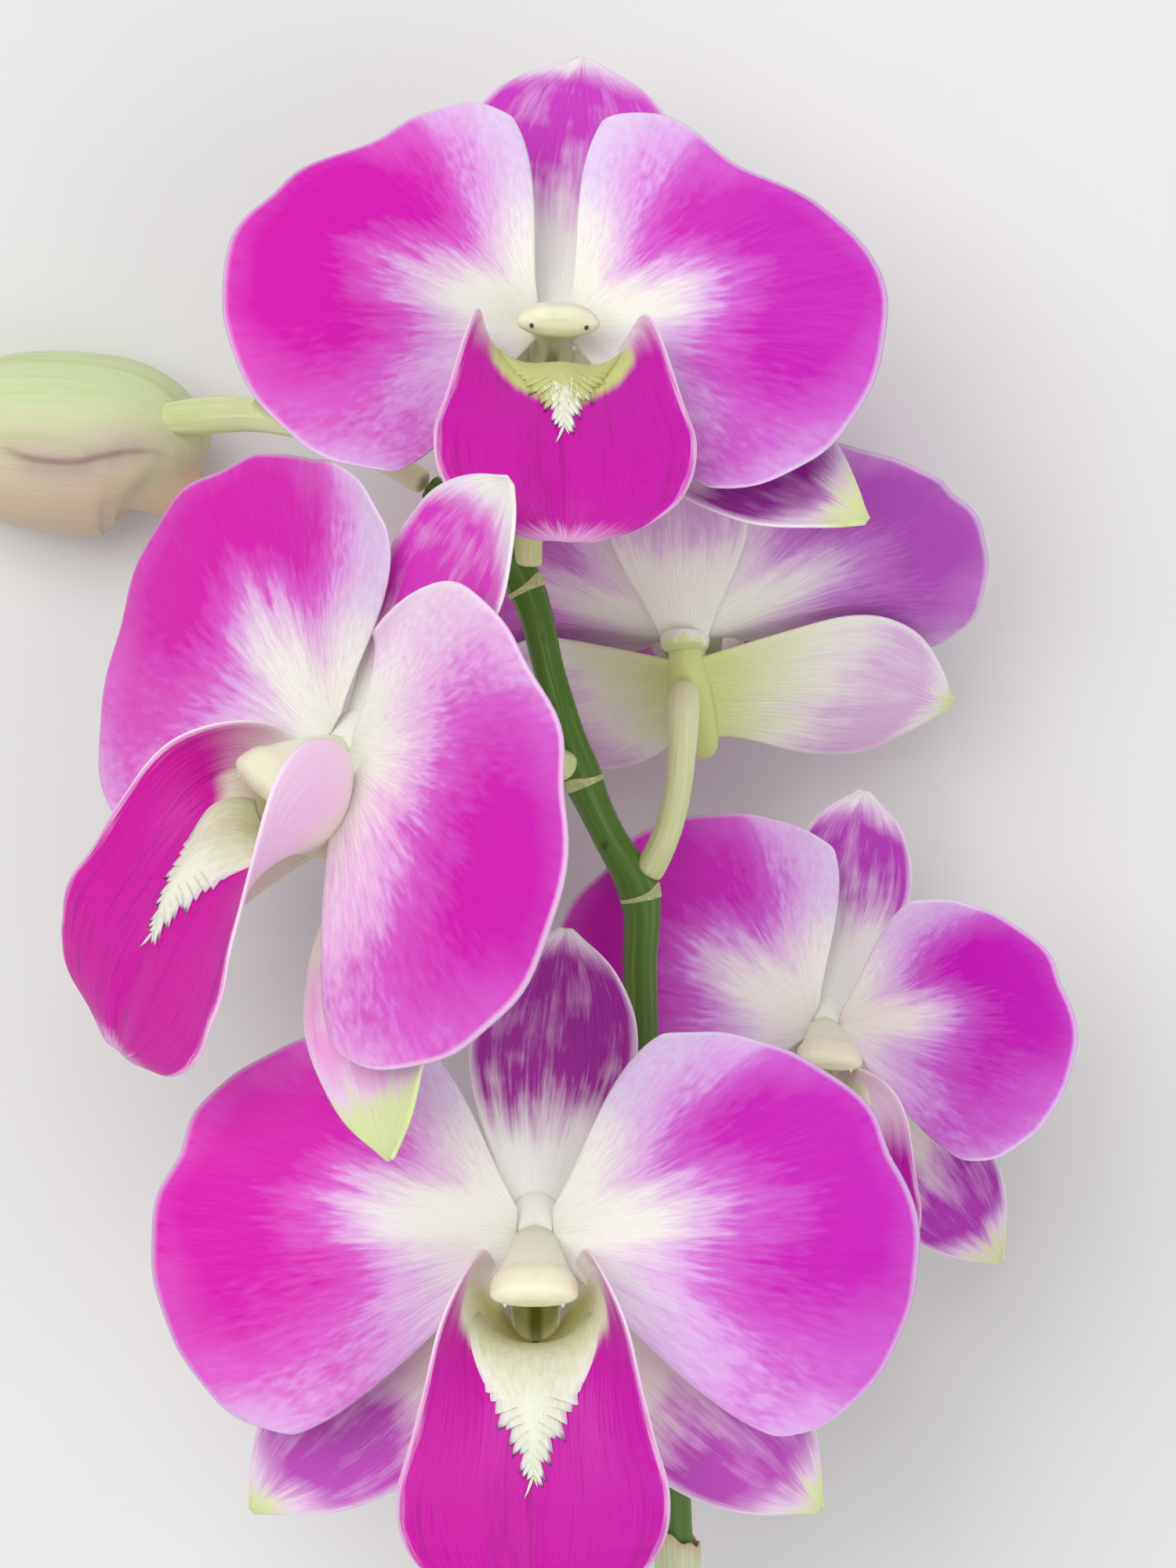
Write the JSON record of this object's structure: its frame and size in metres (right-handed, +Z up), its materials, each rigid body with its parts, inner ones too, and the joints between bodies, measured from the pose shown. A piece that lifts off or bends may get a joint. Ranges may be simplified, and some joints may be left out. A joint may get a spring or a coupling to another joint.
{
  "type": "dendrobium orchid stem",
  "caption": "Cut dendrobium orchid stem with open purple blooms and a closed bud, lying down.",
  "frame": {"origin": "middle of the part's footprint, on the surface that it lies on", "axes": "+Y along the stem from its cut end towards the blooms, +Z up from the surface"},
  "size_m": [0.1324, 0.317, 0.0896],
  "materials": {
    "petal": "thin living petal tissue, satin, purple with a white centre",
    "labellum": "thin living petal tissue, velvety, deep magenta",
    "cream": "firm waxy plant tissue, cream to pale green",
    "stem": "firm green stem tissue, satin",
    "sheath": "dry papery bract",
    "bud": "closed sepals, pale green, waxy"
  },
  "bodies": {
    "root": {"front_bloom_dorsal_sepal": "petal", "front_bloom_left_petal": "petal", "front_bloom_right_petal": "petal", "front_bloom_left_sepal": "petal", "front_bloom_right_sepal": "petal", "front_bloom_labellum": "labellum", "front_bloom_column": "cream", "front_bloom_pedicel": "cream", "top_bloom_dorsal_sepal": "petal", "top_bloom_left_petal": "petal", "top_bloom_right_petal": "petal", "top_bloom_left_sepal": "petal", "top_bloom_right_sepal": "petal", "top_bloom_labellum": "labellum", "top_bloom_column": "cream", "top_bloom_pedicel": "cream", "left_bloom_dorsal_sepal": "petal", "left_bloom_left_petal": "petal", "left_bloom_right_petal": "petal", "left_bloom_left_sepal": "petal", "left_bloom_right_sepal": "petal", "left_bloom_labellum": "labellum", "left_bloom_column": "cream", "left_bloom_pedicel": "cream", "back_bloom_dorsal_sepal": "petal", "back_bloom_left_petal": "petal", "back_bloom_right_petal": "petal", "back_bloom_left_sepal": "petal", "back_bloom_right_sepal": "petal", "back_bloom_labellum": "labellum", "back_bloom_column": "cream", "back_bloom_pedicel": "cream", "right_bloom_dorsal_sepal": "petal", "right_bloom_left_petal": "petal", "right_bloom_right_petal": "petal", "right_bloom_left_sepal": "petal", "right_bloom_right_sepal": "petal", "right_bloom_labellum": "labellum", "right_bloom_column": "cream", "right_bloom_pedicel": "cream", "stem": "stem", "stem_sheath": "sheath", "bud": "bud", "bud_pedicel": "cream"}
  },
  "joints": []
}
